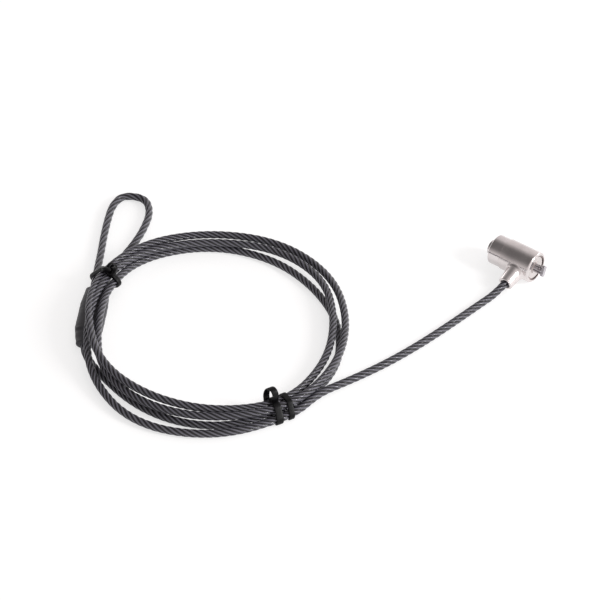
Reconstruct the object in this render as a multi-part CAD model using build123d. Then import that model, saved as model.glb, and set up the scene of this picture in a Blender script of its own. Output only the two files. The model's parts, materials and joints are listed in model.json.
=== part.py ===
from build123d import *
import os
from math import cos, hypot, pi, radians, sin, tan

os.makedirs("parts", exist_ok=True)

# Laptop cable lock, in millimetres. The barrel lies along X with its nose and T-bar towards +X and its
# keyway towards -X. The origin is on the surface that the lock lies on, under the middle of the head.

# ---- driving dimensions -------------------------------------------------------------------------
CABLE_D = 4.4
CABLE_R = CABLE_D / 2

BARREL_R = 9.2
BARREL_LENGTH = 20.3
SHELL_R = 8.75              # lock cylinder where it shows behind the barrel
SHELL_SHOWS = 7.6
COLLAR_R = 4.4
COLLAR_SHOWS = 3.0
BAR_REACH = 5.8             # nose plane to the far face of the T-bar

BOSS_LENGTH = 18.4          # barrel axis to the mouth of the cable boss
BOSS_MOUTH_R = 4.3
BOSS_ROOT_R = 5.7
BOSS_BEHIND_NOSE = 8.8
BOSS_DROOP = radians(15.5)  # the boss points down at the surface by this much

# ---- stations along the lock's axis -------------------------------------------------------------
HEAD_LENGTH = COLLAR_SHOWS + SHELL_SHOWS + BARREL_LENGTH + BAR_REACH
TAIL_X = -HEAD_LENGTH / 2
SHELL_X = TAIL_X + COLLAR_SHOWS
BARREL_X = SHELL_X + SHELL_SHOWS
NOSE_X = BARREL_X + BARREL_LENGTH
BAR_X = NOSE_X + BAR_REACH
BOSS_X = NOSE_X - BOSS_BEHIND_NOSE

BOSS_DIR = Vector(0, -cos(BOSS_DROOP), -sin(BOSS_DROOP))
AXIS_Z = BARREL_R
AXIS_Y = (BOSS_LENGTH * cos(BOSS_DROOP) + BOSS_MOUTH_R * sin(BOSS_DROOP) - BARREL_R) / 2

# ---- lock cylinder and works --------------------------------------------------------------------
BORE_R = 7.5                # housing bore and the cylinder's body in it
WORKS_R = 6.4               # bore of the cylinder, round the plug and the pin block
END_WALL = 2.0
RUN_GAP = 0.05              # radial running clearance of what turns
PIN_COUNT = 8
PIN_CIRCLE_R = 3.2
PIN_R = 0.5
PIN_GAP = 0.03
POST_R = 2.6
POST_X = TAIL_X + 0.5
DIMPLE_R = 0.9
DIMPLE_DEPTH = 0.9
KEY_R = 3.75                # outside radius of the key's tube
SPINDLE_R = 1.85
PLUG_LENGTH = 5.4
BLOCK_LENGTH = 8.0
PLUG_X = SHELL_X + END_WALL + 0.7
SHEAR_X = PLUG_X + PLUG_LENGTH
BLOCK_X = SHEAR_X + RUN_GAP
BLOCK_END_X = BLOCK_X + BLOCK_LENGTH
DRIVER_LENGTH = 2.2
DRIVER_HOLE = 6.8
SPRING_WIRE_R = 0.11
SPRING_WIRE_SIDES = 8       # the wire is drawn eight-sided
SPRING_COIL_R = 0.36
SPRING_PITCH = 0.62
KEY_PIN_CUTS = (0.2, 0.9, 0.5, 1.2, 0.3, 1.0, 0.6, 0.4)

# ---- T-bar and nose -----------------------------------------------------------------------------
BAR_TURN = radians(22)      # the bar's long way, from straight down towards the boss
BAR_LONG = 6.6
BAR_WIDE = 2.5
BAR_THICK = 1.8
SHANK_R = 1.25
HUB_R = 3.2
HUB_FLANGE_R = 5.4
FLANGE_THICK = 1.5
NOTCH_FROM = 35             # degrees: the flange's notch, which the stop pin stands in
NOTCH_TO = 145
NOTCH_REACH = 9.0
STOP_ANGLE = radians(135)
STOP_CIRCLE_R = 4.4
STOP_R = 0.55
RECESS_R = 7.6
RECESS_DEPTH = 3.2
DISC_R = 6.75
DISC_FACE_X = NOSE_X - 0.5
GUIDE_SPREAD = 1.95
GUIDE_R = 0.62

# ---- cable fixing in the boss -------------------------------------------------------------------
STOP_SLEEVE_R = 2.9
STOP_SLEEVE_LENGTH = 4.0
BUSH_R = 3.05
BUSH_LENGTH = 3.2
BOSS_START = 2.0            # the boss's cone begins this far from the barrel's axis, inside the barrel
BOSS_BLEND = 2.2            # fillet between boss and barrel

# ---- cable --------------------------------------------------------------------------------------
# The mean line of the coil is an oval. Its turns run clockwise, seen from above, from the lower tie.
OVAL_CENTRE = (-102.0, -144.4)
OVAL_HALF_LONG = 78.0
OVAL_HALF_SHORT = 69.7
OVAL_TURN = radians(146)
FIRST_STATION = -19         # degrees
STATION_STEP = 30

# How far the outermost and innermost turns lie outside the mean line at each station.
FAN_OUT = (3.3, 7.4, 10.8, 5.0, -0.8, 0.4, -0.6, -0.4, 5.1, 6.5, 3.6, 1.8)
FAN_IN = (-3.6, -5.9, -4.7, -1.0, -7.9, -8.7, -5.2, -5.4, -5.0, -3.9, -3.8, -5.3)
SEAM_STATION = 2            # the coil's outline closes away from both ties
COIL_HIGH = 16.6            # top of the coil where its turns ride over the ferrule sleeve
COIL_LOW = 9.0              # and on the side away from it
COIL_HIGH_SIDE = radians(221)

LEAD_STRAIGHT = 24.4        # barrel axis to where the boss's line meets the surface
LEAD_ROUTE = [
    (1.1, -37.9, 2.2), (-1.5, -61.9, 2.2), (-5.1, -86.9, 2.2),
    (-10.2, -110.4, 2.2), (-17.2, -132.4, 2.2), (-23, -149.9, 3.0),
]
LOOP_ROUTE = [
    (-136, -208.9, 2.5), (-150.8, -197.9, 4.0), (-172.2, -165.7, 4.0), (-184.5, -148.4, 3.9),
    (-195, -133.4, 2.6), (-204.5, -120.4, 2.2), (-213.5, -106.9, 2.2), (-220.5, -94.9, 2.2),
    (-222, -83.7, 2.2), (-209.5, -77.7, 2.2), (-198.5, -86.1, 2.2), (-191.3, -99.9, 2.2),
    (-187, -111.9, 2.2), (-184, -123.9, 2.2), (-180.6, -136.9, 3.2), (-175.2, -150.9, 4.0),
    (-168.5, -163.3, 4.0), (-156.5, -181.4, 4.0),
]

SLEEVE_START = Vector(-147, -199.5, 0)
SLEEVE_END = Vector(-173, -160.3, 0)
SLEEVE_WIDE = 15.6
SLEEVE_THICK = 8.0
SLEEVE_TAPER = 9.0          # length over which its lower end narrows
SLEEVE_END_WIDE = 11.2
SLEEVE_END_THICK = 5.6
SLEEVE_SHRINK = 0.6         # how much less than its widest it is where it has gripped the cable
FERRULE_WIDE = 12.2
FERRULE_THICK = 6.6
FERRULE_LENGTH = 22.0

STRAP_THICK = 1.0
STRAP_WIDE = 6.0


# ---- helpers ------------------------------------------------------------------------------------
def save(shape, node):
    export_step(shape, f"parts/{node}.step")


def rod(x_start, x_end, radius, y=AXIS_Y, z=AXIS_Z):
    """A round bar along X."""
    face = Plane(origin=(x_start, y, z), x_dir=(0, 1, 0), z_dir=(1, 0, 0)) * Circle(radius)
    return extrude(face, amount=x_end - x_start)


def ring(x_start, x_end, outer, inner):
    return rod(x_start, x_end, outer) - rod(x_start, x_end, inner)


def around_axis(radius, angle):
    """Y and Z of a point at this radius and angle round the lock's axis."""
    return AXIS_Y + radius * cos(angle), AXIS_Z + radius * sin(angle)


def boss_rod(start, end, radius_start, radius_end=None):
    """A round bar or cone along the boss, between two distances from the barrel's axis."""
    radius_end = radius_start if radius_end is None else radius_end
    base = Vector(BOSS_X, AXIS_Y, AXIS_Z)
    foot = Plane(origin=base + BOSS_DIR * start, x_dir=(1, 0, 0), z_dir=BOSS_DIR)
    if radius_end == radius_start:
        return extrude(foot * Circle(radius_start), amount=end - start)
    mouth = Plane(origin=base + BOSS_DIR * end, x_dir=(1, 0, 0), z_dir=BOSS_DIR)
    return loft([foot * Circle(radius_start), mouth * Circle(radius_end)])


def bar_block(x_start, x_end, long_way, wide_way):
    """A block across the axis with its long way along the T-bar's."""
    down = (0, -sin(BAR_TURN), -cos(BAR_TURN))
    plane = Plane(origin=(x_start, AXIS_Y, AXIS_Z), x_dir=down, z_dir=(1, 0, 0))
    return extrude(plane * Rectangle(long_way, wide_way), amount=x_end - x_start)


def corner_radii(points):
    """The largest arcs that the runs leave room for, one for each corner."""
    corners = [Vector(*point) for point in points]
    radii = []
    for before, at, after in zip(corners, corners[1:], corners[2:]):
        turn = radians((at - before).get_angle(after - at))
        shorter = min((at - before).length, (after - at).length)
        radii.append(0.45 * shorter / tan(turn / 2))
    return radii


def cable_tube(points, name):
    radii = corner_radii(points)
    path = FilletPolyline(*points, radius=radii)
    start = Plane(origin=path @ 0, z_dir=path % 0)
    tube = sweep(start * Circle(CABLE_R), path=path)
    expected = pi * CABLE_R ** 2 * path.length
    print(name, "length", round(path.length, 1), "volume ratio", round(tube.volume / expected, 4))
    print(name, "radii", [round(radius, 1) for radius in radii])
    return tube


def coil_place(angle, outward):
    """X and Y at this angle round the coil's centre, outside its mean line."""
    lean = angle - OVAL_TURN
    mean = OVAL_HALF_LONG * OVAL_HALF_SHORT / hypot(OVAL_HALF_SHORT * cos(lean), OVAL_HALF_LONG * sin(lean))
    return (OVAL_CENTRE[0] + (mean + outward) * cos(angle), OVAL_CENTRE[1] + (mean + outward) * sin(angle))


def station_angle(station):
    return radians(FIRST_STATION - STATION_STEP * station)


# ---- lock head ----------------------------------------------------------------------------------
def housing():
    barrel = rod(BARREL_X, NOSE_X, BARREL_R)
    barrel = fillet(barrel.edges().sort_by(Axis.X)[-1], 1.1)
    barrel = chamfer(barrel.edges().sort_by(Axis.X)[0], 0.35)
    boss = boss_rod(BOSS_START, BOSS_LENGTH, BOSS_ROOT_R, BOSS_MOUTH_R)
    boss = fillet(boss.edges().sort_by(Axis.Y)[0], 0.7)
    body = barrel + boss
    joint = [edge for edge in body.edges()
             if edge.geom_type not in (GeomType.CIRCLE, GeomType.LINE) and edge.length > 15]
    body = fillet(joint, BOSS_BLEND)
    body -= rod(BARREL_X, NOSE_X - RECESS_DEPTH, BORE_R)
    body -= rod(NOSE_X - RECESS_DEPTH, NOSE_X, RECESS_R)
    body -= boss_rod(0, BORE_R + STOP_SLEEVE_LENGTH + 0.6, STOP_SLEEVE_R + RUN_GAP)
    body -= boss_rod(0, BOSS_LENGTH, CABLE_R + 0.12)
    body -= boss_rod(BOSS_LENGTH - BUSH_LENGTH - 0.3, BOSS_LENGTH, BUSH_R)
    body -= shell_pin()
    return body


def lock_shell():
    body = rod(SHELL_X, BARREL_X, SHELL_R)
    body = chamfer(body.edges().sort_by(Axis.X)[0], 0.4)
    body += rod(BARREL_X, NOSE_X - RECESS_DEPTH, BORE_R)
    body -= rod(SHELL_X + END_WALL, NOSE_X - RECESS_DEPTH, WORKS_R)
    body -= rod(SHELL_X, SHELL_X + END_WALL, COLLAR_R)
    body -= shell_pin()
    return body


def shell_pin():
    """The roll pin that keeps the lock cylinder in the housing, in from the top of the barrel."""
    foot = Plane(origin=(BARREL_X + 4, AXIS_Y, AXIS_Z + WORKS_R), z_dir=(0, 0, 1))
    return extrude(foot * Circle(0.8), amount=BARREL_R - WORKS_R - 0.7)


def keyway_collar():
    body = ring(TAIL_X, SHELL_X + END_WALL, COLLAR_R, KEY_R)
    body = chamfer(body.edges().filter_by(GeomType.CIRCLE).group_by(Axis.X)[0][-1], 0.25)
    y, z = around_axis(KEY_R, radians(90))
    notch = Plane(origin=(TAIL_X, y, z), x_dir=(0, 1, 0), z_dir=(1, 0, 0)) * Rectangle(1.5, 0.8)
    return body - extrude(notch, amount=COLLAR_SHOWS + END_WALL)


def pin_places():
    return [around_axis(PIN_CIRCLE_R, 2 * pi * number / PIN_COUNT) for number in range(PIN_COUNT)]


def key_plug():
    body = ring(PLUG_X, SHEAR_X, WORKS_R - RUN_GAP, SPINDLE_R)
    for y, z in pin_places():
        body -= rod(PLUG_X, SHEAR_X, PIN_R + PIN_GAP, y, z)
    return body


def pin_block():
    body = ring(BLOCK_X, BLOCK_END_X, WORKS_R, SPINDLE_R + RUN_GAP)
    for y, z in pin_places():
        body -= rod(BLOCK_X, BLOCK_X + DRIVER_HOLE, PIN_R + PIN_GAP, y, z)
    return body - stop_pin()


def key_pins():
    pins = []
    for (y, z), cut in zip(pin_places(), KEY_PIN_CUTS):
        tip = PLUG_X + cut
        pin = rod(tip, SHEAR_X - PIN_GAP, PIN_R, y, z)
        pins.append(chamfer(pin.edges().sort_by(Axis.X)[0], 0.2))
    return Compound(children=pins)


def driver_pins():
    pins = []
    for y, z in pin_places():
        pin = rod(BLOCK_X, BLOCK_X + DRIVER_LENGTH, PIN_R, y, z)
        pins.append(chamfer(pin.edges().sort_by(Axis.X)[0], 0.1))
    return Compound(children=pins)


def pin_springs():
    start = BLOCK_X + DRIVER_LENGTH + SPRING_WIRE_R
    length = DRIVER_HOLE - DRIVER_LENGTH - 2 * SPRING_WIRE_R
    springs = []
    for y, z in pin_places():
        path = Helix(pitch=SPRING_PITCH, height=length, radius=SPRING_COIL_R, center=(start, y, z),
                     direction=(1, 0, 0))
        wire = Plane(origin=path @ 0, z_dir=path % 0) * RegularPolygon(SPRING_WIRE_R, SPRING_WIRE_SIDES)
        springs.append(sweep(wire, path=path, is_frenet=True))
    return Compound(children=springs)


TANG_X = BLOCK_END_X + 0.3
HUB_END_X = NOSE_X - RECESS_DEPTH - 0.6
TANG_SIDE = 2.2
CROSS_PIN_R = 0.5
CROSS_PIN_X = TANG_X + 2.4


def cross_pin_bar(radius):
    across = Vector(0, cos(BAR_TURN), -sin(BAR_TURN))
    start = Vector(CROSS_PIN_X, AXIS_Y, AXIS_Z) - across * (HUB_R - 0.1)
    return extrude(Plane(origin=start, z_dir=across) * Circle(radius), amount=2 * HUB_R - 0.2)


def spindle():
    """It is fixed in the plug. Its thick end is the post that the tubular key goes round."""
    body = rod(POST_X, PLUG_X, POST_R) + rod(PLUG_X, TANG_X, SPINDLE_R)
    body += bar_block(TANG_X, HUB_END_X - 1.0, TANG_SIDE, TANG_SIDE)
    body -= rod(POST_X, POST_X + DIMPLE_DEPTH, DIMPLE_R)
    y, z = around_axis(POST_R, radians(90))
    groove = Plane(origin=(POST_X, y, z), x_dir=(0, 1, 0), z_dir=(1, 0, 0)) * Rectangle(1.2, 0.8)
    body -= extrude(groove, amount=PLUG_X - POST_X)
    return body - cross_pin_bar(CROSS_PIN_R)


def stop_pin():
    y, z = around_axis(STOP_CIRCLE_R, STOP_ANGLE)
    return rod(BLOCK_END_X - 1.0, BLOCK_END_X + 1.6, STOP_R, y, z)


def t_bar():
    flange = rod(TANG_X, TANG_X + FLANGE_THICK, HUB_FLANGE_R)
    plane = Plane(origin=(TANG_X, AXIS_Y, AXIS_Z), x_dir=(0, 1, 0), z_dir=(1, 0, 0))
    rim = [(NOTCH_REACH * cos(radians(degrees)), NOTCH_REACH * sin(radians(degrees)))
           for degrees in (NOTCH_FROM, (NOTCH_FROM + NOTCH_TO) / 2, NOTCH_TO)]
    flange -= extrude(plane * make_face(Polyline((0, 0), *rim, close=True)), amount=FLANGE_THICK)
    hub = rod(TANG_X, HUB_END_X, HUB_R)
    shank = rod(HUB_END_X, BAR_X - BAR_THICK, SHANK_R)
    bar = bar_block(BAR_X - BAR_THICK, BAR_X, BAR_LONG, BAR_WIDE)
    bar = fillet(bar.edges().filter_by(Axis.X), 0.9)
    bar = fillet(bar.faces().sort_by(Axis.X)[-1].edges(), 0.35)
    body = flange + hub + shank + bar
    body -= bar_block(TANG_X, HUB_END_X - 1.0, TANG_SIDE, TANG_SIDE)
    return body - cross_pin_bar(CROSS_PIN_R)


def thrust_washer():
    return ring(HUB_END_X + RUN_GAP, HUB_END_X + 0.5, HUB_R, SHANK_R + RUN_GAP)


def guide_places():
    return [(AXIS_Y + side * GUIDE_SPREAD * sin(BAR_TURN), AXIS_Z + side * GUIDE_SPREAD * cos(BAR_TURN))
            for side in (-1, 1)]


def guide_disc():
    back = NOSE_X - RECESS_DEPTH
    body = rod(back, DISC_FACE_X, DISC_R)
    body = fillet(body.edges().sort_by(Axis.X)[-1], 0.3)
    body += rod(DISC_FACE_X, DISC_FACE_X + 0.5, 3.6)
    body += rod(back, back + 0.8, RECESS_R)
    body -= rod(back, DISC_FACE_X + 0.5, SHANK_R + RUN_GAP)
    for y, z in guide_places():
        body -= rod(back, DISC_FACE_X + 0.5, GUIDE_R, y, z)
    return body


def guide_pins():
    pins = []
    for y, z in guide_places():
        pin = rod(NOSE_X - RECESS_DEPTH, BAR_X - BAR_THICK - 0.35, GUIDE_R, y, z)
        pins.append(fillet(pin.edges().sort_by(Axis.X)[-1], 0.3))
    return Compound(children=pins)


def cable_stop():
    start = BORE_R + 0.35
    return boss_rod(start, start + STOP_SLEEVE_LENGTH, STOP_SLEEVE_R) \
        - boss_rod(start, start + STOP_SLEEVE_LENGTH, CABLE_R)


def cable_bush():
    start = BOSS_LENGTH - BUSH_LENGTH - 0.3
    body = boss_rod(start, BOSS_LENGTH - 0.2, BUSH_R) - boss_rod(start, BOSS_LENGTH - 0.2, CABLE_R + 0.08)
    return body


# ---- cable and what is on it --------------------------------------------------------------------
def boss_point(distance):
    return tuple(Vector(BOSS_X, AXIS_Y, AXIS_Z) + BOSS_DIR * distance)


def cable_lead():
    return cable_tube([boss_point(BORE_R + 0.4), boss_point(LEAD_STRAIGHT)] + LEAD_ROUTE, "lead")


def cable_loop():
    return cable_tube(LOOP_ROUTE, "loop")


def coil_outline(fan, grow):
    stations = [(number + SEAM_STATION) % len(fan) for number in range(len(fan))]
    points = [coil_place(station_angle(number), fan[number] + grow) for number in stations]
    return make_face(Spline(*points, periodic=True))


def coil_sector(first, last):
    """The wedge of the coil's plan between two stations."""
    steps = [first + (last - first) * step / 4 for step in range(5)]
    points = [OVAL_CENTRE] + [coil_place(station_angle(step), 40) for step in steps]
    return make_face(Polyline(*points, close=True))


def cable_coil():
    body = extrude(coil_outline(FAN_OUT, CABLE_R) - coil_outline(FAN_IN, -CABLE_R), amount=COIL_HIGH)
    body -= extrude(coil_sector(3.62, 5.5), amount=SLEEVE_THICK + 0.3)
    slope = (COIL_HIGH - COIL_LOW) / (2 * OVAL_HALF_SHORT)
    normal = Vector(-slope * cos(COIL_HIGH_SIDE), -slope * sin(COIL_HIGH_SIDE), 1)
    middle = (*OVAL_CENTRE, (COIL_HIGH + COIL_LOW) / 2)
    body = split(body, bisect_by=Plane(origin=middle, z_dir=normal), keep=Keep.BOTTOM)
    return body - tie_lower() - tie_upper()


def along_sleeve(distance, height):
    direction = (SLEEVE_END - SLEEVE_START).normalized()
    return SLEEVE_START + direction * distance + Vector(0, 0, height)


def sleeve_section(distance, wide, thick):
    direction = (SLEEVE_END - SLEEVE_START).normalized()
    plane = Plane(origin=along_sleeve(distance, SLEEVE_THICK / 2), x_dir=(direction.Y, -direction.X, 0),
                  z_dir=direction)
    return plane * SlotOverall(wide, thick)


def sleeve_length():
    return (SLEEVE_END - SLEEVE_START).length


def ferrule_sleeve():
    full = sleeve_section(SLEEVE_TAPER, SLEEVE_WIDE - SLEEVE_SHRINK, SLEEVE_THICK - SLEEVE_SHRINK)
    body = loft([sleeve_section(0, SLEEVE_END_WIDE, SLEEVE_END_THICK), full], ruled=True)
    body += extrude(full, amount=sleeve_length() - SLEEVE_TAPER)
    body -= ferrule_body()
    return body - CABLE_LOOP


def ferrule_body():
    start = (sleeve_length() - FERRULE_LENGTH) / 2 + 2
    return extrude(sleeve_section(start, FERRULE_WIDE, FERRULE_THICK), amount=FERRULE_LENGTH)


def loop_ferrule():
    return ferrule_body() - CABLE_LOOP


def strap(angle, inner_out, inner_in, top):
    """A closed band round the bundle at this angle round the coil."""
    out = Vector(*coil_place(angle, inner_out), 0)
    inner = Vector(*coil_place(angle, inner_in), 0)
    across = (out - inner).normalized()
    middle = (out + inner) * 0.5 + Vector(0, 0, (top + STRAP_THICK) / 2)
    along = Vector(-across.Y, across.X, 0)
    plane = Plane(origin=middle - along * (STRAP_WIDE / 2), x_dir=across, z_dir=along)
    width = (out - inner).length
    height = top - STRAP_THICK
    outer = RectangleRounded(width + 2 * STRAP_THICK, height + 2 * STRAP_THICK, 2.4)
    hole = RectangleRounded(width, height, 1.6)
    return extrude(plane * (outer - hole), amount=STRAP_WIDE)


def tie_lower():
    return strap(station_angle(0), 5.8, -6.0, 10.6)


def tie_upper():
    return strap(station_angle(5.25), 11.6, -11.2, 14.2)


CABLE_LOOP = cable_loop()

NODES = {
    "housing": housing, "lock_shell": lock_shell, "shell_pin": shell_pin, "keyway_collar": keyway_collar,
    "key_plug": key_plug, "pin_block": pin_block, "key_pins": key_pins, "driver_pins": driver_pins,
    "pin_springs": pin_springs, "spindle": spindle, "stop_pin": stop_pin, "t_bar": t_bar,
    "thrust_washer": thrust_washer, "guide_disc": guide_disc, "guide_pins": guide_pins,
    "cable_stop": cable_stop, "cable_bush": cable_bush, "cable_lead": cable_lead, "cable_coil": cable_coil,
    "ferrule_sleeve": ferrule_sleeve, "loop_ferrule": loop_ferrule, "tie_lower": tie_lower,
    "tie_upper": tie_upper,
}
for node, make in NODES.items():
    save(make(), node)
save(CABLE_LOOP, "cable_loop")
save(cross_pin_bar(CROSS_PIN_R), "t_bar_pin")
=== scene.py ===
import json
from math import ceil, cos, hypot, pi, radians, sin

import bpy
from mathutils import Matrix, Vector, noise


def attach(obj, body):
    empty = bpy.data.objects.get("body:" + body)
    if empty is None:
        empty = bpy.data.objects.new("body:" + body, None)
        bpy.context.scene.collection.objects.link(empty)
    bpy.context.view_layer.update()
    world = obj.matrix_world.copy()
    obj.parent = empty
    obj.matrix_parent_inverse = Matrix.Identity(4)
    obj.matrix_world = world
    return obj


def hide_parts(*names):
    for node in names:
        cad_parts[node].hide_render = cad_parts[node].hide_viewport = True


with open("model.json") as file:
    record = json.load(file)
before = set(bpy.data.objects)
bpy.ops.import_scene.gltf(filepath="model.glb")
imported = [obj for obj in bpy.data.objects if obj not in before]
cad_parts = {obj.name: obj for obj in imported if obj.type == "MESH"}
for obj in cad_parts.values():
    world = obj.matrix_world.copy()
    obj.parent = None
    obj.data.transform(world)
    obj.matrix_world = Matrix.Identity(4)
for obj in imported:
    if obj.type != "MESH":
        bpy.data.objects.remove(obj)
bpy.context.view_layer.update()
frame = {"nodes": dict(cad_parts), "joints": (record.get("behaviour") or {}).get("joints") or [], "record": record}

# Laptop cable lock, in metres, in the part's own frame.

# ---- cable --------------------------------------------------------------------------------------
CABLE_D = 0.0044
CABLE_R = CABLE_D / 2
STRANDS = 6
LAY_LENGTH = 0.0252         # along the rope for one turn of a strand
LOOP_LAY = 0.0350           # the lay opens where the rope is bent into its end loop
LOOP_OPENS = (1.72, 1.77)   # the stretch of the rope over which the lay lengthens
GROOVE_DEPTH = 0.00052      # between two strands, where the cover sinks in
ROPE_STEP = 0.00105
STRAND_POINTS = 8           # round the rope, on each strand
STRAND_BULGE = 0.75         # under 1, a strand is fuller than a cosine
WIRES_SEEN = 3              # on each strand, through the cover

BOSS_MOUTH = 0.0184         # from the barrel's axis to where the cable leaves the boss
LEAD_START = 0.0079         # and to the cable's end inside it
LEAD_STRAIGHT = 0.0244      # and to where the boss's line meets the surface
LEAD_ROUTE = [
    (0.0011, -0.0379, 0.0022), (-0.0015, -0.0619, 0.0022), (-0.0051, -0.0869, 0.0022),
    (-0.0102, -0.1104, 0.0022), (-0.0172, -0.1324, 0.0022), (-0.0230, -0.1499, 0.0030),
]
LOOP_ROUTE = [
    (-0.1360, -0.2089, 0.0025), (-0.1508, -0.1979, 0.0040), (-0.1722, -0.1657, 0.0040),
    (-0.1845, -0.1484, 0.0039), (-0.1950, -0.1334, 0.0026), (-0.2045, -0.1204, 0.0022),
    (-0.2135, -0.1069, 0.0022), (-0.2205, -0.0949, 0.0022), (-0.2220, -0.0837, 0.0022),
    (-0.2095, -0.0777, 0.0022), (-0.1985, -0.0861, 0.0022), (-0.1913, -0.0999, 0.0022),
    (-0.1870, -0.1119, 0.0022), (-0.1840, -0.1239, 0.0022), (-0.1806, -0.1369, 0.0032),
    (-0.1752, -0.1509, 0.0040), (-0.1685, -0.1633, 0.0040), (-0.1565, -0.1814, 0.0040),
]

# The coil runs clockwise, seen from above, round an oval. At each station a turn has its own distance
# outside the oval and its own height, so the turns fan out between the two ties.
OVAL_CENTRE = Vector((-0.1020, -0.1444, 0))
OVAL_HALF_LONG = 0.0780
OVAL_HALF_SHORT = 0.0697
OVAL_TURN = radians(146)
FIRST_STATION = -19         # degrees
STATION_STEP = 30
OUTWARD = (
    (0.0033, 0.0074, 0.0108, 0.0050, -0.0030, -0.0051,
     -0.0044, -0.0062, 0.0000, 0.0012, -0.0040, -0.0053),
    (-0.0029, -0.0060, -0.0046, -0.0016, -0.0034, -0.0010,
     -0.0014, -0.0006, 0.0054, 0.0063, 0.0030, 0.0014),
    (0.0014, -0.0015, -0.0005, -0.0013, -0.0088, -0.0093,
     -0.0046, -0.0051, -0.0050, -0.0046, -0.0012, 0.0018),
    (-0.0006, 0.0015, 0.0006),
)
HEIGHT = (
    (0.0022, 0.0022, 0.0022, 0.0044, 0.0104, 0.0124,
     0.0080, 0.0066, 0.0058, 0.0066, 0.0064, 0.0056),
    (0.0064, 0.0079, 0.0097, 0.0112, 0.0148, 0.0116,
     0.0106, 0.0082, 0.0065, 0.0064, 0.0064, 0.0066),
    (0.0066, 0.0066, 0.0066, 0.0067, 0.0096, 0.0096,
     0.0030, 0.0022, 0.0022, 0.0022, 0.0022, 0.0022),
    (0.0022, 0.0022, 0.0022),
)

# ---- ties and sleeve ----------------------------------------------------------------------------
# A place along the bundle is measured from a tie's own angle. A slant carries the top of a wrap along.
TIE_THICK = 0.0009
TIE_GAP = 0.0001            # between a tie and the cable
BAND_SQUARENESS = 0.42      # under 1, a band's section is fuller than an ellipse
BAND_ROUGHNESS = 0.05
BAND_GRAIN = 900
LOWER_TIE_ANGLE = radians(FIRST_STATION - 4)
LOWER_TIE_SLANT = 0.16
LOWER_WRAPS = (             # name, place along the bundle, width
    ("lower_tie_first_wrap", -0.0020, 0.0042),
    ("lower_tie_second_wrap", 0.0054, 0.0032),
)
EYE_PLACE = -0.0008
EYE_READ_PLACE = -0.0058    # where the bundle is measured for the eye
EYE_WIDE = 0.0036
EYE_SHAPE = (               # from the inner cable's middle and top: outward, up, along
    (0.0024, -0.0002, 0.0), (0.0026, 0.0050, 0.0004), (-0.0002, 0.0074, 0.0),
    (-0.0034, 0.0058, -0.0010), (-0.0042, 0.0014, -0.0020), (-0.0022, -0.0018, -0.0026),
)
UPPER_TIE_ANGLE = radians(FIRST_STATION - STATION_STEP * 5.25)
UPPER_TIE_SLANT = 0.10
UPPER_TIE_WIDE = 0.0030
UPPER_TIE_THICK = 0.0020
UPPER_TIE_PLACE = 0.0034
KNOT_INWARD = 0.0035        # from the bundle's middle
KNOT_LIFT = 0.0014
KNOT_SIZE = (0.00135, 0.00120, 0.00125)  # outward, along, up
KNOT_BAND = (0.0026, 0.0023)  # width, thickness
SLEEVE_START = Vector((-0.1470, -0.1995, 0))
SLEEVE_END = Vector((-0.1730, -0.1603, 0))
SLEEVE_HEIGHT = 0.0040
SLEEVE_WIDE = 0.0154
SLEEVE_THICK = 0.0078
SLEEVE_WRINKLE = 0.022
WRINKLE_GRAIN = (420, 1.3)  # along the sleeve and round it
FERRULE_FROM, FERRULE_TO = 0.0120, 0.0340  # along the sleeve
FERRULE_BITES = (0.0160, 0.0230, 0.0300)

# ---- light --------------------------------------------------------------------------------------
DARK_SIDE = (-0.477, -0.358, 0.803)  # where the tent is dimmest, above and in front of the barrel
TENT_TONES = [(0.0, 0.96), (0.58, 0.92), (0.79, 0.78), (0.91, 0.36), (0.965, 0.20), (1.0, 0.18)]
TENT_TINT = (1, 0.955, 0.95)
SOFTBOXES = (               # name, place from the camera's target, size, power
    ("key_softbox", (1.25, 0.42, 0.74), (0.30, 0.50), 13),
    ("back_softbox", (0.5, 1.5, 0.42), (1.4, 0.45), 5),
    ("left_softbox", (-1.45, 0.35, 0.30), (0.7, 0.4), 1.5),
)
FLOOR_SIZE = 6
FLOOR_DROP = 0.0001         # the floor lies this much under the object
FLOOR_TONE = 0.42
FLOOR_GLOW = 0.66           # the floor is a lit table

# ---- camera -------------------------------------------------------------------------------------
CAMERA_AZIMUTH = radians(38.5)
CAMERA_ELEVATION = radians(40)
CAMERA_DISTANCE = 1.4
CAMERA_TARGET = Vector((-0.0815, -0.0921, 0))
CAMERA_LENS = 148.9


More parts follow.
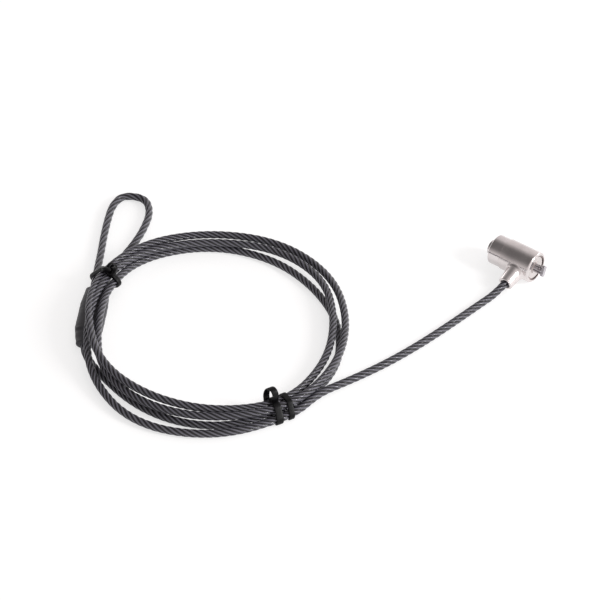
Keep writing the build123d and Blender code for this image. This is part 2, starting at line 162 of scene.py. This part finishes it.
# ---- node helpers -------------------------------------------------------------------------------
class Nodes:
    """A material under construction: add() makes a node and joins the sockets given as its inputs."""

    def __init__(self, name):
        self.material = bpy.data.materials.new(name)
        self.material.use_nodes = True
        self.tree = self.material.node_tree
        self.shader = self.tree.nodes["Principled BSDF"]

    def add(self, kind, inputs=None, **settings):
        node = self.tree.nodes.new(kind)
        for key, value in settings.items():
            setattr(node, key, value)
        for key, value in (inputs or {}).items():
            if isinstance(value, bpy.types.NodeSocket):
                self.tree.links.new(value, node.inputs[key])
            else:
                node.inputs[key].default_value = value
        return node

    def math(self, operation, first, second=0.0):
        return self.add("ShaderNodeMath", {0: first, 1: second}, operation=operation).outputs[0]

    def ramp(self, factor, stops):
        node = self.add("ShaderNodeValToRGB", {0: factor})
        elements = node.color_ramp.elements
        while len(elements) < len(stops):
            elements.new(0.5)
        for element, (place, colour) in zip(elements, stops):
            element.position = place
            element.color = (*colour, 1)
        return node.outputs[0]

    def spread(self, factor, low, high):
        """The factor, from 0 to 1, as a number between low and high."""
        return self.add("ShaderNodeMapRange", {0: factor, 3: low, 4: high}).outputs[0]

    def noise(self, scale, detail=3.0, stretch=(1, 1, 1)):
        place = self.add("ShaderNodeTexCoord").outputs["Object"]
        mapped = self.add("ShaderNodeMapping", {0: place, 3: stretch}).outputs[0]
        inputs = {"Vector": mapped, "Scale": scale, "Detail": detail}
        return self.add("ShaderNodeTexNoise", inputs).outputs["Fac"]

    def bump(self, height, distance, strength=1.0, after=None):
        inputs = {"Height": height, "Distance": distance, "Strength": strength}
        if after is not None:
            inputs["Normal"] = after
        return self.add("ShaderNodeBump", inputs).outputs[0]

    def finish(self, **sockets):
        for name, value in sockets.items():
            target = self.shader.inputs[name.replace("_", " ")]
            if isinstance(value, bpy.types.NodeSocket):
                self.tree.links.new(value, target)
            else:
                target.default_value = value
        return self.material


def shade(low, high, colour, darker=0.82):
    """Two tones of one colour, for a ramp."""
    return [(low, tuple(darker * part for part in colour)), (high, colour)]


# ---- materials ----------------------------------------------------------------------------------
def cable_material():
    """Smoke-grey cover over bright strands: dark in the grooves, partly from the thicker cover there and partly as
    painted shade between the strands, with the wires showing on each strand.
    """
    nodes = Nodes("smoke_cable")
    uv = nodes.add("ShaderNodeUVMap", uv_map="rope").outputs[0]
    parts = nodes.add("ShaderNodeSeparateXYZ", {0: uv})
    across, along = parts.outputs[0], parts.outputs[1]
    lobe = nodes.math("ABSOLUTE", nodes.math("SUBTRACT", nodes.math("FRACT", across), 0.5))
    # painted shade: the colour runs from each strand's crest to near black in the groove between strands, darker
    # than the cover alone makes it
    tone = nodes.ramp(lobe, [
        (0.0, (0.182, 0.177, 0.212)), (0.17, (0.096, 0.094, 0.114)),
        (0.31, (0.012, 0.012, 0.015)), (0.42, (0.001, 0.001, 0.002)),
    ])
    wire_phase = nodes.math("ADD", nodes.math("MULTIPLY", across, WIRES_SEEN * 2 * pi),
                            nodes.math("MULTIPLY", along, 2 * pi))
    wires = nodes.spread(nodes.math("SINE", wire_phase), 0.0, 1.0)
    grime = nodes.noise(260, 4)
    # the painted groove shade, with random grime mixed in towards a dark grey
    groove_shade_and_grime = nodes.add("ShaderNodeMix", {0: nodes.spread(grime, 0.05, 0.34), 6: tone,
                                         7: (0.020, 0.020, 0.023, 1)}, data_type="RGBA").outputs[2]
    normal = nodes.bump(wires, 0.00005, 0.55)
    normal = nodes.bump(nodes.noise(2600, 2), 0.00002, 0.3, normal)
    return nodes.finish(Base_Color=groove_shade_and_grime, Roughness=nodes.spread(grime, 0.26, 0.40), Normal=normal,
                        Specular_IOR_Level=0.25, Coat_Weight=0.35, Coat_Roughness=0.12, Coat_IOR=1.5)


def metal(name, colour, low_rough, high_rough, grain, grain_depth=0.00001, lines=(1, 1, 1)):
    """Bare or plated metal: fine grain along its turning or drawing marks, and faint tarnish."""
    nodes = Nodes(name)
    tarnish = nodes.noise(90, 5)
    marks = nodes.noise(grain, 3, lines)
    colour_out = nodes.ramp(tarnish, shade(0.32, 0.62, colour))
    rough = nodes.spread(marks, low_rough, high_rough)
    return nodes.finish(Base_Color=colour_out, Metallic=1.0, Roughness=rough,
                        Normal=nodes.bump(marks, grain_depth, 0.35))


def plastic(name, colour, low_rough, high_rough, grain, depth, specular=0.5):
    """Moulded or extruded plastic: a fine pebbled skin with slight shine differences."""
    nodes = Nodes(name)
    mottle = nodes.noise(150, 4)
    normal = nodes.bump(nodes.noise(grain, 3), depth, 0.6)
    return nodes.finish(Base_Color=nodes.ramp(mottle, shade(0.3, 0.7, colour)), Normal=normal,
                        Roughness=nodes.spread(mottle, low_rough, high_rough),
                        Specular_IOR_Level=specular)


def make_materials():
    """The finishes by the record's material slots."""
    turned = (30, 3, 3)     # marks that run round X, as a lathe leaves them
    drawn = (1, 14, 14)     # marks that run along X
    return {
        "nickel_housing": metal("satin_nickel", (0.74, 0.69, 0.685), 0.18, 0.27, 900, lines=turned),
        "nickel_cylinder": metal("bright_nickel", (0.72, 0.675, 0.675), 0.10, 0.18, 1200, lines=turned),
        "nickel_nose": metal("nose_nickel", (0.72, 0.67, 0.66), 0.18, 0.30, 1300),
        "steel": metal("turned_steel", (0.52, 0.52, 0.53), 0.22, 0.36, 1500, lines=turned),
        "bar_steel": metal("plated_bar_steel", (0.58, 0.56, 0.59), 0.18, 0.28, 1500),
        "guide_steel": metal("ground_steel", (0.62, 0.60, 0.62), 0.20, 0.32, 1500, lines=turned),
        "spring_steel": metal("spring_steel", (0.42, 0.42, 0.43), 0.25, 0.38, 1700),
        "plug_brass": metal("plug_brass", (0.74, 0.58, 0.30), 0.20, 0.34, 1200, lines=turned),
        "brass": metal("block_brass", (0.72, 0.57, 0.31), 0.22, 0.36, 1200, lines=turned),
        "pin_brass": metal("pin_brass", (0.78, 0.62, 0.33), 0.18, 0.30, 1500, lines=drawn),
        "aluminium": metal("crimped_aluminium", (0.66, 0.66, 0.67), 0.34, 0.50, 700, 0.00004),
        "black_nylon": plastic("black_nylon", (0.016, 0.016, 0.017), 0.36, 0.5, 3000, 0.00003),
        "cable": cable_material(),
        "shrink_sleeve": plastic("shrink_sleeve", (0.040, 0.039, 0.045), 0.40, 0.55, 1100, 0.00005, 0.3),
        "tie_black": plastic("tie_black", (0.0022, 0.0022, 0.0028), 0.32, 0.46, 1500, 0.00003, 0.18),
    }


# ---- mesh helpers -------------------------------------------------------------------------------
def new_piece(name, vertices, faces, material, body="cable"):
    mesh = bpy.data.meshes.new(name)
    mesh.from_pydata([tuple(vertex) for vertex in vertices], [], faces)
    mesh.polygons.foreach_set("use_smooth", [True] * len(mesh.polygons))
    mesh.validate()
    mesh.materials.append(material)
    piece = bpy.data.objects.new(name, mesh)
    bpy.context.scene.collection.objects.link(piece)
    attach(piece, body)
    return piece


def evenly(points, step, closed=False):
    """Points at equal distances along the line through these points."""
    line = list(points) + ([points[0]] if closed else [])
    total = sum((b - a).length for a, b in zip(line, line[1:]))
    count = max(4, ceil(total / step))
    wanted = [total * number / count for number in range(count if closed else count + 1)]
    result = []
    walked = 0.0
    index = 0
    for distance in wanted:
        run = (line[index + 1] - line[index]).length
        while walked + run < distance and index < len(line) - 2:
            walked += run
            index += 1
            run = (line[index + 1] - line[index]).length
        result.append(line[index].lerp(line[index + 1], min(1, (distance - walked) / max(run, 1e-9))))
    return result


def tangents(points, closed=False):
    count = len(points)
    found = []
    for number in range(count):
        before = points[number - 1] if closed or number else points[0]
        after = points[(number + 1) % count] if closed or number < count - 1 else points[-1]
        found.append((after - before).normalized())
    return found


def carried_sides(directions):
    """A side direction at each point that doesn't twist about the line."""
    side = directions[0].orthogonal().normalized()
    sides = [side]
    for before, after in zip(directions, directions[1:]):
        side = (before.rotation_difference(after) @ side).normalized()
        side = (side - after * side.dot(after)).normalized()
        sides.append(side)
    return sides


def tube_faces(rings, around, closed=False):
    faces = []
    for ring in range(rings if closed else rings - 1):
        here, there = ring * around, (ring + 1) % rings * around
        for spot in range(around):
            side = (spot + 1) % around
            faces.append((here + spot, here + side, there + side, there + spot))
    if not closed:
        faces.append(tuple(range(around - 1, -1, -1)))
        faces.append(tuple((rings - 1) * around + spot for spot in range(around)))
    return faces


# ---- the cord's line ----------------------------------------------------------------------------
def joint(name):
    return next(entry for entry in frame["joints"] if entry["name"] == name)


def coil_mean(angle):
    lean = angle - OVAL_TURN
    return OVAL_HALF_LONG * OVAL_HALF_SHORT / hypot(OVAL_HALF_SHORT * cos(lean), OVAL_HALF_LONG * sin(lean))


def coil_point(station, outward, height):
    """A control point of the coil. The curve runs inside its control points by half a step's cosine."""
    angle = radians(FIRST_STATION - STATION_STEP * station)
    reach = (coil_mean(angle) + outward) / cos(radians(STATION_STEP / 2))
    return OVAL_CENTRE + Vector((reach * cos(angle), reach * sin(angle), height))


def cable_route():
    swivel = joint("cable_swivel")
    axis_point, boss = Vector(swivel["pos_m"]), Vector(swivel["axis"]).normalized()
    points = [axis_point + boss * LEAD_START, axis_point + boss * LEAD_STRAIGHT]
    points += [Vector(point) for point in LEAD_ROUTE]
    for outs, heights in zip(OUTWARD, HEIGHT):
        for station, (outward, height) in enumerate(zip(outs, heights)):
            points.append(coil_point(station, outward, height))
    points += [Vector(point) for point in LOOP_ROUTE]
    return points, axis_point + boss * BOSS_MOUTH


def cable_line(points):
    """Closely spaced points read from the NURBS spline that the route controls."""
    curve = bpy.data.curves.new("cable_line", "CURVE")
    curve.dimensions = "3D"
    curve.resolution_u = 24
    spline = curve.splines.new("NURBS")
    spline.points.add(len(points) - 1)
    for target, point in zip(spline.points, points):
        target.co = (*point, 1)
    spline.order_u = 3
    spline.use_endpoint_u = True
    holder = bpy.data.objects.new("cable_line", curve)
    mesh = bpy.data.meshes.new_from_object(holder)
    line = [vertex.co.copy() for vertex in mesh.vertices]
    bpy.data.objects.remove(holder)
    bpy.data.meshes.remove(mesh)
    return line


def make_cable(line, material):
    """Six strands laid right-handed under one cover, as one closed skin that follows the strands."""
    points = evenly(line, ROPE_STEP)
    directions = tangents(points)
    sides = carried_sides(directions)
    around = STRANDS * STRAND_POINTS
    vertices = []
    walked = 0.0
    laid = 0.0
    turns = []
    for number, (point, direction, side) in enumerate(zip(points, directions, sides)):
        run = (point - points[number - 1]).length if number else 0.0
        walked += run
        opened = min(1, max(0, (walked - LOOP_OPENS[0]) / (LOOP_OPENS[1] - LOOP_OPENS[0])))
        laid += run / (LAY_LENGTH + (LOOP_LAY - LAY_LENGTH) * opened)
        turns.append(laid)
        up = direction.cross(side)
        for spot in range(around):
            on_strand = (spot % STRAND_POINTS) / STRAND_POINTS - 0.5
            crest = abs(cos(pi * on_strand)) ** STRAND_BULGE
            reach = CABLE_R - GROOVE_DEPTH * (1 - crest)
            angle = 2 * pi * (spot / around + laid)
            vertices.append(point + (side * cos(angle) + up * sin(angle)) * reach)
    piece = new_piece("steel_cable", vertices, tube_faces(len(points), around), material)
    layer = piece.data.uv_layers.new(name="rope")
    for polygon in piece.data.polygons:
        if polygon.loop_total != 4:
            continue
        spots = [piece.data.loops[loop].vertex_index % around for loop in polygon.loop_indices]
        wraps = 0 in spots and around - 1 in spots
        for loop, spot in zip(polygon.loop_indices, spots):
            ring = piece.data.loops[loop].vertex_index // around
            placed = around if wraps and spot == 0 else spot
            layer.data[loop].uv = (placed / STRAND_POINTS, turns[ring])
    return piece, points


# ---- ties ---------------------------------------------------------------------------------------
def crossings(line, angle, shift):
    """Where the cable passes through the upright plane at this angle round the coil, as (out, height)."""
    out = Vector((cos(angle), sin(angle), 0))
    along = Vector((-out.y, out.x, 0))
    base = OVAL_CENTRE + along * shift
    found = []
    for a, b in zip(line, line[1:]):
        here, there = (a - base).dot(along), (b - base).dot(along)
        if here * there <= 0 and here != there:
            spot = a.lerp(b, here / (here - there)) - base
            if spot.dot(out) > 0:
                found.append((spot.dot(out), spot.z))
    return found


def hull(points):
    """The convex outline, anticlockwise."""
    ordered = sorted(set(points))
    half = []
    for sequence in (ordered, ordered[::-1]):
        chain = []
        for point in sequence:
            while len(chain) > 1:
                ax, ay = chain[-1][0] - chain[-2][0], chain[-1][1] - chain[-2][1]
                bx, by = point[0] - chain[-2][0], point[1] - chain[-2][1]
                if ax * by - ay * bx > 0:
                    break
                chain.pop()
            chain.append(point)
        half += chain[:-1]
    return half


def wrap_outline(spots, margin, steps=24):
    """A taut closed line round the cables at these spots, no lower than the floor lets it lie."""
    reach = CABLE_R + margin
    rim = []
    for out, height in spots:
        for step in range(steps):
            turn = 2 * pi * step / steps
            up = max(height + reach * sin(turn), margin)
            rim.append((round(out + reach * cos(turn), 6), round(up, 6)))
    return hull(rim)


def band_path(spots, angle, shift, slant, margin):
    """The wrap in space. The slant carries the top of the band further along the bundle than its foot."""
    out = Vector((cos(angle), sin(angle), 0))
    along = Vector((-out.y, out.x, 0))
    outline = wrap_outline(spots, margin)
    middle = sum(height for _, height in outline) / len(outline)
    return [OVAL_CENTRE + out * reach + along * (shift + slant * (height - middle)) + Vector((0, 0, height))
            for reach, height in outline]


def squared(turn, power):
    """A point of a rounded oblong, each way from -1 to 1."""
    x = abs(cos(turn)) ** power * (1 if cos(turn) >= 0 else -1)
    y = abs(sin(turn)) ** power * (1 if sin(turn) >= 0 else -1)
    return x, y


def strip_piece(name, path, wide_way, width, thick, material, closed=True, step=0.0005):
    """A flat band with rounded edges along a path, its width as near to wide_way as the path allows."""
    points = evenly(path, step, closed)
    directions = tangents(points, closed)
    corners = 20
    vertices = []
    for point, direction in zip(points, directions):
        wide = (wide_way - direction * wide_way.dot(direction)).normalized()
        flat = direction.cross(wide)
        for corner in range(corners):
            turn = 2 * pi * corner / corners
            x, y = squared(turn, BAND_SQUARENESS)
            rough = 1 + BAND_ROUGHNESS * noise.noise(point * BAND_GRAIN + Vector((turn, 0, 0)))
            vertices.append(point + wide * (x * width / 2) + flat * (y * thick / 2 * rough))
    return new_piece(name, vertices, tube_faces(len(points), corners, closed), material)


def smooth_path(points, rounds=3):
    """An open line with its corners cut, its ends kept."""
    for _ in range(rounds):
        cut = [points[0]]
        for a, b in zip(points, points[1:]):
            cut += [a.lerp(b, 0.25), a.lerp(b, 0.75)]
        points = cut + [points[-1]]
    return points


def make_lower_tie(line, material):
    """A flat plastic-covered tie wrapped twice round the bundle, with its end looped up at the inside."""
    out = Vector((cos(LOWER_TIE_ANGLE), sin(LOWER_TIE_ANGLE), 0))
    along = Vector((-out.y, out.x, 0))
    margin = TIE_THICK / 2 + TIE_GAP
    made = []
    for name, place, width in LOWER_WRAPS:
        spots = crossings(line, LOWER_TIE_ANGLE, place)
        path = band_path(spots, LOWER_TIE_ANGLE, place, LOWER_TIE_SLANT, margin)
        made.append(strip_piece(name, path, along, width, TIE_THICK, material))
    spots = crossings(line, LOWER_TIE_ANGLE, EYE_READ_PLACE)
    inner = min(reach for reach, _ in spots)
    top = max(height for reach, height in spots if reach < inner + 2 * CABLE_R) + CABLE_R
    path = [OVAL_CENTRE + out * (inner + outward) + along * (EYE_PLACE + over) + Vector((0, 0, top + up))
            for outward, up, over in EYE_SHAPE]
    made.append(strip_piece("lower_tie_eye", smooth_path(path), along, EYE_WIDE, TIE_THICK, material,
                            closed=False))
    return made


def make_upper_tie(line, material):
    """A twist tie: one turn round the bundle and the loop's legs, knotted on top."""
    out = Vector((cos(UPPER_TIE_ANGLE), sin(UPPER_TIE_ANGLE), 0))
    along = Vector((-out.y, out.x, 0))
    up = Vector((0, 0, 1))
    spots = crossings(line, UPPER_TIE_ANGLE, UPPER_TIE_PLACE)
    path = band_path(spots, UPPER_TIE_ANGLE, UPPER_TIE_PLACE, UPPER_TIE_SLANT, TIE_THICK / 2 + TIE_GAP)
    made = [strip_piece("upper_tie_wrap", path, along, UPPER_TIE_WIDE, UPPER_TIE_THICK, material)]
    top = max(height for _, height in spots) + CABLE_R
    knot_middle = OVAL_CENTRE + out * (sum(reach for reach, _ in spots) / len(spots) - KNOT_INWARD)
    knot_middle += along * UPPER_TIE_PLACE + up * (top + KNOT_LIFT)
    outward, lengthwise, upward = KNOT_SIZE
    trefoil = []
    steps = 90
    for step in range(steps):
        turn = 2 * pi * step / steps
        trefoil.append(knot_middle
                       + out * (outward * (sin(turn) + 2 * sin(2 * turn)))
                       + along * (lengthwise * (cos(turn) - 2 * cos(2 * turn)))
                       - up * (upward * sin(3 * turn)))
    made.append(strip_piece("upper_tie_knot", trefoil, up, *KNOT_BAND, material, step=0.0003))
    return made


# ---- sleeve and ferrule -------------------------------------------------------------------------
def lofted(name, stations, material, wrinkle=0.0):
    """A closed skin along the sleeve. Each station is (distance, wide, thick, squareness)."""
    direction = (SLEEVE_END - SLEEVE_START).normalized()
    side = Vector((direction.y, -direction.x, 0))
    around = 72
    lengthwise, roundwise = WRINKLE_GRAIN
    vertices = []
    for distance, wide, thick, square in stations:
        middle = SLEEVE_START + direction * distance + Vector((0, 0, SLEEVE_HEIGHT))
        for spot in range(around):
            turn = 2 * pi * spot / around
            x, y = squared(turn, square)
            reach = 1 + wrinkle * noise.noise(Vector((distance * lengthwise, turn * roundwise, 0)))
            vertices.append(middle + side * (x * wide / 2 * reach) + Vector((0, 0, y * thick / 2 * reach)))
    return new_piece(name, vertices, tube_faces(len(stations), around), material)


def eased(profile, step):
    """Stations between the given ones, with smooth changes of every size."""
    made = []
    for before, after in zip(profile, profile[1:]):
        count = max(2, ceil((after[0] - before[0]) / step))
        for number in range(count):
            part = number / count
            blend = part * part * (3 - 2 * part)
            row = [a + (b - a) * blend for a, b in zip(before, after)]
            row[0] = before[0] + (after[0] - before[0]) * part
            made.append(tuple(row))
    return made + [profile[-1]]


def make_sleeve(material):
    """Shrunk on from the cables at each end to its full width over the ferrule."""
    length = (SLEEVE_END - SLEEVE_START).length
    profile = [
        (0.0, 0.0098, 0.0052, 0.9), (0.0006, 0.0107, 0.0058, 0.85), (0.0080, 0.0134, 0.0066, 0.7),
        (0.0115, 0.0150, 0.0076, 0.62), (0.0140, SLEEVE_WIDE, SLEEVE_THICK, 0.6),
        (0.0330, SLEEVE_WIDE, SLEEVE_THICK, 0.6), (0.0375, 0.0148, 0.0074, 0.66),
        (length - 0.0006, 0.0136, 0.0068, 0.75), (length, 0.0128, 0.0062, 0.8),
    ]
    return lofted("ferrule_shrink_sleeve", eased(profile, 0.0005), material, SLEEVE_WRINKLE)


def make_ferrule(material):
    """The crimped double ferrule inside the sleeve, with three flats pressed into it."""
    full = (0.0120, 0.0064, 0.6)
    tip = (0.0110, 0.0056, 0.6)
    pressed = (0.0117, 0.0054, 0.5)
    profile = [(FERRULE_FROM, *tip), (FERRULE_FROM + 0.0008, *full)]
    for bite in FERRULE_BITES:
        profile += [(bite - 0.0018, *full), (bite - 0.0008, *pressed),
                    (bite + 0.0008, *pressed), (bite + 0.0018, *full)]
    profile += [(FERRULE_TO - 0.0008, *full), (FERRULE_TO, *tip)]
    return lofted("crimped_ferrule", eased(profile, 0.0004), material)


# ---- stage --------------------------------------------------------------------------------------
def make_floor():
    bpy.ops.mesh.primitive_plane_add(size=FLOOR_SIZE, location=(*CAMERA_TARGET.xy, -FLOOR_DROP))
    floor = bpy.context.object
    floor.name = "studio_floor"
    nodes = Nodes("pale_floor")
    floor.data.materials.append(nodes.finish(
        Base_Color=(FLOOR_TONE, FLOOR_TONE, FLOOR_TONE, 1), Roughness=0.7, Emission_Color=(1, 1, 1, 1),
        Emission_Strength=FLOOR_GLOW))


def area_light(name, place, size, power):
    data = bpy.data.lights.new(name, "AREA")
    data.shape = "RECTANGLE"
    data.size, data.size_y = size
    data.energy = power
    light = bpy.data.objects.new(name, data)
    light.location = CAMERA_TARGET + Vector(place)
    light.rotation_mode = "QUATERNION"
    light.rotation_quaternion = (-Vector(place)).to_track_quat("-Z", "Y")
    bpy.context.scene.collection.objects.link(light)


def make_world():
    """A light tent that is bright all round, but for its dark side."""
    world = bpy.data.worlds.new("studio_tent")
    world.use_nodes = True
    tree = world.node_tree
    background = tree.nodes["Background"]
    place = tree.nodes.new("ShaderNodeTexCoord")
    facing = tree.nodes.new("ShaderNodeVectorMath")
    facing.operation = "DOT_PRODUCT"
    facing.inputs[1].default_value = DARK_SIDE
    tree.links.new(place.outputs["Generated"], facing.inputs[0])
    ramp = tree.nodes.new("ShaderNodeValToRGB")
    spread = tree.nodes.new("ShaderNodeMapRange")
    spread.inputs[1].default_value = -1
    tree.links.new(facing.outputs["Value"], spread.inputs[0])
    tree.links.new(spread.outputs[0], ramp.inputs[0])
    while len(ramp.color_ramp.elements) < len(TENT_TONES):
        ramp.color_ramp.elements.new(0.5)
    for element, (position, tone) in zip(ramp.color_ramp.elements, TENT_TONES):
        element.position = position
        element.color = (*(tint * tone for tint in TENT_TINT), 1)
    tree.links.new(ramp.outputs[0], background.inputs[0])
    background.inputs[1].default_value = 1.0
    bpy.context.scene.world = world


def make_lights():
    make_world()
    for softbox in SOFTBOXES:
        area_light(*softbox)


def make_camera():
    data = bpy.data.cameras.new("photo_camera")
    data.lens = CAMERA_LENS
    data.sensor_width = 36
    data.clip_start, data.clip_end = 0.05, 20
    camera = bpy.data.objects.new("photo_camera", data)
    level = cos(CAMERA_ELEVATION)
    toward = Vector((sin(CAMERA_AZIMUTH) * level, -cos(CAMERA_AZIMUTH) * level, sin(CAMERA_ELEVATION)))
    camera.location = CAMERA_TARGET + toward * CAMERA_DISTANCE
    camera.rotation_mode = "QUATERNION"
    camera.rotation_quaternion = (-toward).to_track_quat("-Z", "Y")
    bpy.context.scene.collection.objects.link(camera)
    bpy.context.scene.camera = camera


# ---- assembly -----------------------------------------------------------------------------------
materials = make_materials()
for part in frame["record"]["subparts"]:
    shown = frame["nodes"][part["node"]]
    shown.data.materials.clear()
    shown.data.materials.append(materials[part["material_slot"]])

route, cable_exit = cable_route()
line = cable_line(route)
cable, centreline = make_cable(line, materials["cable"])
sleeve = make_sleeve(materials["shrink_sleeve"])
ferrule = make_ferrule(materials["aluminium"])
lower_ties = make_lower_tie(line, materials["tie_black"])
upper_ties = make_upper_tie(line, materials["tie_black"])

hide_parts("cable_lead", "cable_coil", "cable_loop")
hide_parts("ferrule_sleeve")
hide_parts("loop_ferrule")
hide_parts("tie_lower")
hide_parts("tie_upper")

make_floor()
make_lights()
make_camera()
bpy.context.scene.view_settings.view_transform = "Standard"
